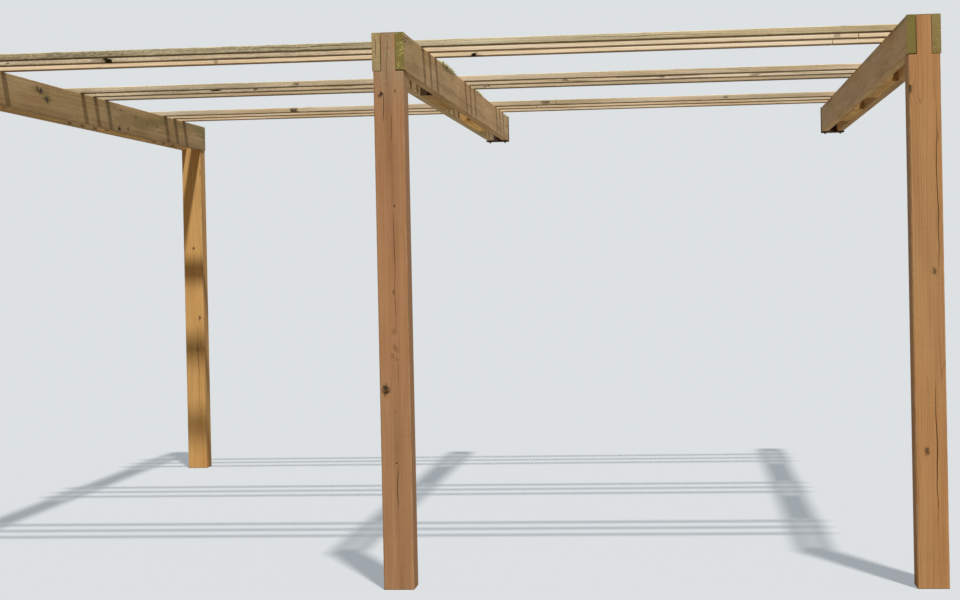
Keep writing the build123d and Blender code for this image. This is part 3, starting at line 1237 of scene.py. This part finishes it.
class PERGOLA_OT_battens(bpy.types.Operator):
    """Battens across the beams, with countersunk screw holes"""

    bl_idname = "pergola.battens"
    bl_label = "Add the battens"

    def execute(self, context):
        sizes = context.scene.pergola_sizes
        arris = sizes.batten_arris
        for node in BATTENS:
            low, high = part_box(node)
            radius = sizes.screw_head / 2 + 0.5 * MM
            cutters = [rod(radius, place, 5 * MM, 14) for place in screw_places(node)]
            if node in JOINTS:
                cutters += [
                    start(
                        "cube",
                        size=1,
                        location=(JOINTS[node], face, middle(node, Z)),
                        scale=(JOINT_WIDTH, 2 * JOINT_REACH, 50 * MM),
                    )
                    for face in (low.y, high.y)
                ]
            batten = long_timber(node, X, arris)
            dress(batten, node, "treated pine", "batten", X, arris, 0.25, [cutters])
        return {"FINISHED"}


class PERGOLA_OT_spacers(bpy.types.Operator):
    """Spacers that fill the gap inside a pair of beams"""

    bl_idname = "pergola.spacers"
    bl_label = "Add the spacers"

    def execute(self, context):
        arris = context.scene.pergola_sizes.batten_arris
        for pair in PAIRS:
            for place in ("front", "back"):
                node = f"spacer_{pair}_pair_{place}"
                spacer = long_timber(node, Y, arris)
                dress(spacer, node, "treated pine", "spacer", Y, arris, 0.4)
        return {"FINISHED"}


class PERGOLA_OT_brackets(bpy.types.Operator):
    """Steel wall brackets with their anchors and coach screws"""

    bl_idname = "pergola.brackets"
    bl_label = "Add the wall brackets"

    def execute(self, context):
        colours = context.scene.pergola_colours
        # Mild steel plate, hot-rolled and left to rust: dark brown scale, hardly any shine
        rusted = metal_material(
            "hot-rolled mild steel, rusted", linear("#4A3A30"), colours.rust, 0.36, 0.7, 0.5
        )
        # Zinc-plated screws and nuts: dull grey with brown stains and a soft glint
        zinc = metal_material(
            "zinc-plated steel, dull", colours.zinc, linear("#6A5A4A"), 0.56, 0.9, 0.45
        )
        screw = hex_head()
        for pair in WALL_PAIRS:
            node = f"wall_bracket_{pair}"
            low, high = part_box(node)
            seat_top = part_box(f"beam_{pair}_pair_left")[0].z
            wall = high.y - (seat_top - low.z)
            bracket = block(low, Vector((high.x, high.y, seat_top)))
            bpy.ops.object.mode_set(mode="EDIT")
            bpy.ops.mesh.bisect(plane_co=(0, wall, 0), plane_no=(0, 1, 0))
            choose(
                bracket,
                "FACE",
                lambda face: face.normal.z > 0.9 and face.calc_center_median().y > wall,
            )
            extrude((0, 0, high.z - seat_top))
            choose(bracket, "EDGE", lambda edge: edge.calc_face_angle(0) > 1 and edge.is_convex)
            bpy.ops.mesh.bevel(offset=1.2 * MM, segments=2, affect="EDGES")
            bpy.ops.object.mode_set(mode="OBJECT")
            centre = middle(node, X)
            seats = [(middle(f"beam_{pair}_pair_{side}", X), (low.y + wall) / 2) for side in SIDES]
            anchors = [(seat_top + high.z) / 2 + step for step in (-ANCHOR_STEP, ANCHOR_STEP)]
            quarter = (math.radians(90), 0, 0)
            cutters = [rod(SEAT_HOLE, (x, y, low.z)) for x, y in seats]
            cutters += [rod(ANCHOR_HOLE, (centre, high.y, z), turn=quarter) for z in anchors]
            carve(bracket, cutters)
            bracket.name = f"steel_{node}"
            hand_over(bracket, rusted, [node], smooth_angle=25)
            down = (math.radians(180), 0, 0)
            heads = [copy_to(screw, (x, y, low.z), down, SEAT_SCREW_SIZE) for x, y in seats]
            heads += [copy_to(screw, (centre, wall, z), quarter) for z in anchors]
            hand_over(join(heads, f"bracket_fixings_{pair}"), zinc)
        bpy.data.objects.remove(screw)
        return {"FINISHED"}


class PERGOLA_OT_fixings(bpy.types.Operator):
    """Screw heads in the battens and nail heads in the beams"""

    bl_idname = "pergola.fixings"
    bl_label = "Add the screws and nails"

    def execute(self, context):
        sizes = context.scene.pergola_sizes
        colours = context.scene.pergola_colours
        # Hot-dip galvanised heads: grey, stained brown by the wood's tannin
        zinc = metal_material(
            "galvanised steel, weathered", colours.zinc, linear("#5A4A3C"), 0.45, 0.8, 0.55
        )
        screw = rod(sizes.screw_head / 2, (0, 0, -1 * MM), 2 * MM, 14)
        bpy.ops.object.mode_set(mode="EDIT")
        choose(screw, "FACE", lambda face: face.normal.z > 0.9)
        bpy.ops.mesh.inset(thickness=0.5 * MM)
        bpy.ops.transform.translate(value=(0, 0, 0.3 * MM))
        bpy.ops.mesh.inset(thickness=sizes.screw_head * 0.22)
        extrude((0, 0, -1.4 * MM))
        bpy.ops.object.mode_set(mode="OBJECT")
        sunk = Vector((0, 0, 1.2 * MM))
        heads = [copy_to(screw, place - sunk) for node in BATTENS for place in screw_places(node)]
        bpy.data.objects.remove(screw)
        hand_over(join(heads, "batten_screws"), zinc)

        nail = rod(sizes.nail_head / 2, (0, 0, 0), 1.6 * MM, 12)
        bpy.ops.object.mode_set(mode="EDIT")
        choose(nail, "FACE", lambda face: face.normal.z > 0.9)
        bpy.ops.mesh.inset(thickness=0.8 * MM)
        bpy.ops.transform.translate(value=(0, 0, 0.25 * MM))
        bpy.ops.object.mode_set(mode="OBJECT")
        heads = [
            copy_to(nail, place, (0, math.radians(90 * turn), 0)) for place, turn in nail_places()
        ]
        bpy.data.objects.remove(nail)
        hand_over(join(heads, "beam_nails"), zinc)
        return {"FINISHED"}


class PERGOLA_OT_lichen(bpy.types.Operator):
    """Lichen tufts on the weather side of the middle pair"""

    bl_idname = "pergola.lichen"
    bl_label = "Add the lichen tufts"

    def execute(self, context):
        tall = context.scene.pergola_sizes.tuft_height
        tuft = start(
            "ico_sphere", subdivisions=1, radius=tall * 0.25, location=(0, 0, tall * 0.08)
        )
        bpy.ops.object.mode_set(mode="EDIT")
        dice = random.Random("tuft")
        mesh = bmesh.from_edit_mesh(tuft.data)
        for number in range(0, len(mesh.faces), 2):
            choose(tuft, "FACE", lambda face: face.index == number and face.normal.z > -0.4)
            mesh = bmesh.from_edit_mesh(tuft.data)
            picked = [face for face in mesh.faces if face.select]
            if not picked:
                continue
            extrude(tuple(picked[0].normal * tall * dice.uniform(0.4, 0.9)))
            bpy.ops.mesh.merge(type="CENTER")
        bpy.ops.object.mode_set(mode="OBJECT")
        low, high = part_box("beam_middle_pair_right")
        tufts = []
        for first, last, count in TUFT_STRETCHES:
            for _ in range(count):
                along = low.y + dice.triangular(first, last, first + TUFT_PEAK)
                place = (high.x - dice.uniform(-1, 20) * MM, along, high.z - 1 * MM)
                turn = [dice.uniform(-0.7, 0.7), dice.uniform(-0.7, 0.7), dice.uniform(0, 6.3)]
                tufts.append(copy_to(tuft, place, turn, dice.uniform(0.3, 1.0)))
        bpy.data.objects.remove(tuft)
        clump = join(tufts, "lichen_tufts")
        hand_over(clump, lichen_material(), smooth_angle=20)
        return {"FINISHED"}


class PERGOLA_OT_stage(bpy.types.Operator):
    """Pale floor, soft lights and the camera"""

    bl_idname = "pergola.stage"
    bl_label = "Set the stage"

    def execute(self, context):
        scene = context.scene
        colours = scene.pergola_colours
        floor = start("plane", size=400, location=(0, 0, -1 * MM))
        floor.name = "studio_floor"
        material, tree = new_material("matt studio floor")
        add = partial(add_node, tree)
        # The eye sees a floor that fades into the backdrop and keeps its shadows;
        # the object is lit by a darker one.
        sunlight = SUN_POWER / math.pi * abs(Vector(SUN_TRAVEL).normalized().z)
        fill = [
            seen - (sunlight + sky) * own
            for seen, sky, own in zip(colours.backdrop[:3], SKY, colours.floor[:3])
        ]
        path = add("LightPath", {}, out="Is Camera Ray")
        glow = add("Emission", {"Color": (*fill, 1.0), "Strength": 1.0})
        matt = add("BsdfDiffuse", {"Color": tuple(colours.floor)})
        seen = add("AddShader", {0: glow, 1: matt})
        unseen = add("BsdfDiffuse", {"Color": linear("#7C7466")})
        add("OutputMaterial", {"Surface": add("MixShader", {0: path, 1: unseen, 2: seen})})
        floor.data.materials.append(material)

        world = bpy.data.worlds.new("studio")
        world.use_nodes = True
        world.node_tree.nodes.clear()
        add = partial(add_node, world.node_tree)
        path = add("LightPath", {}).node.outputs
        seen = path["Is Camera Ray"]
        for ray in ("Is Glossy Ray", "Is Transmission Ray"):
            seen = add("Math", {0: seen, 1: path[ray]}, operation="MAXIMUM")
        tint = add("Mix", {0: seen, 6: (*SKY, 1.0), 7: tuple(colours.backdrop)}, **COLOURS)
        add("OutputWorld", {"Surface": add("Background", {"Color": tint, "Strength": 1.0})})
        scene.world = world

        deselect()
        bpy.ops.object.light_add(type="SUN", location=(0, 0, 12))
        sun = context.active_object
        sun.name = "key_light"
        sun.data.energy = SUN_POWER
        sun.data.angle = math.radians(2.5)
        sun.rotation_mode = "QUATERNION"
        sun.rotation_quaternion = Vector(SUN_TRAVEL).to_track_quat("-Z", "Y")

        bpy.ops.object.camera_add(location=CAMERA_PLACE)
        camera = context.active_object
        camera.name = "photo_camera"
        camera.data.sensor_width = SENSOR_WIDTH
        camera.data.lens = CAMERA_FOCAL_PIXELS * SENSOR_WIDTH / IMAGE_WIDTH
        camera.data.shift_y = (CAMERA_CENTRE_ROW - IMAGE_HEIGHT / 2) / IMAGE_WIDTH
        camera.data.clip_end = 500
        camera.rotation_euler = (math.radians(90 + CAMERA_PITCH), 0, math.radians(CAMERA_YAW))
        level = camera.rotation_euler.to_quaternion()
        camera.rotation_mode = "QUATERNION"
        camera.rotation_quaternion = level @ Quaternion((0, 0, 1), math.radians(CAMERA_ROLL))
        scene.camera = camera
        scene.view_settings.view_transform = "Standard"
        return {"FINISHED"}


class PERGOLA_PT_panel(bpy.types.Panel):
    """The pergola's sizes, colours and pieces"""

    bl_idname = "PERGOLA_PT_panel"
    bl_label = "Pergola"
    bl_space_type = "VIEW_3D"
    bl_region_type = "UI"
    bl_category = "Pergola"

    def draw(self, context):
        for values in (context.scene.pergola_sizes, context.scene.pergola_colours):
            for key in values.bl_rna.properties.keys():
                if key not in ("rna_type", "name"):
                    self.layout.prop(values, key)
        for operator in OPERATORS:
            self.layout.operator(operator.bl_idname)


OPERATORS = (
    PERGOLA_OT_posts,
    PERGOLA_OT_beams,
    PERGOLA_OT_battens,
    PERGOLA_OT_spacers,
    PERGOLA_OT_brackets,
    PERGOLA_OT_fixings,
    PERGOLA_OT_lichen,
    PERGOLA_OT_stage,
)
CLASSES = (PergolaColours, PergolaSizes, *OPERATORS, PERGOLA_PT_panel)


def register():
    for each in CLASSES:
        bpy.utils.register_class(each)
    bpy.types.Scene.pergola_colours = bpy.props.PointerProperty(type=PergolaColours)
    bpy.types.Scene.pergola_sizes = bpy.props.PointerProperty(type=PergolaSizes)


def unregister():
    del bpy.types.Scene.pergola_sizes
    del bpy.types.Scene.pergola_colours
    for each in reversed(CLASSES):
        bpy.utils.unregister_class(each)


def main():
    register()
    bpy.ops.pergola.posts()
    bpy.ops.pergola.beams()
    bpy.ops.pergola.battens()
    bpy.ops.pergola.spacers()
    bpy.ops.pergola.brackets()
    bpy.ops.pergola.fixings()
    bpy.ops.pergola.lichen()
    bpy.ops.pergola.stage()


if __name__ == "__main__":
    main()
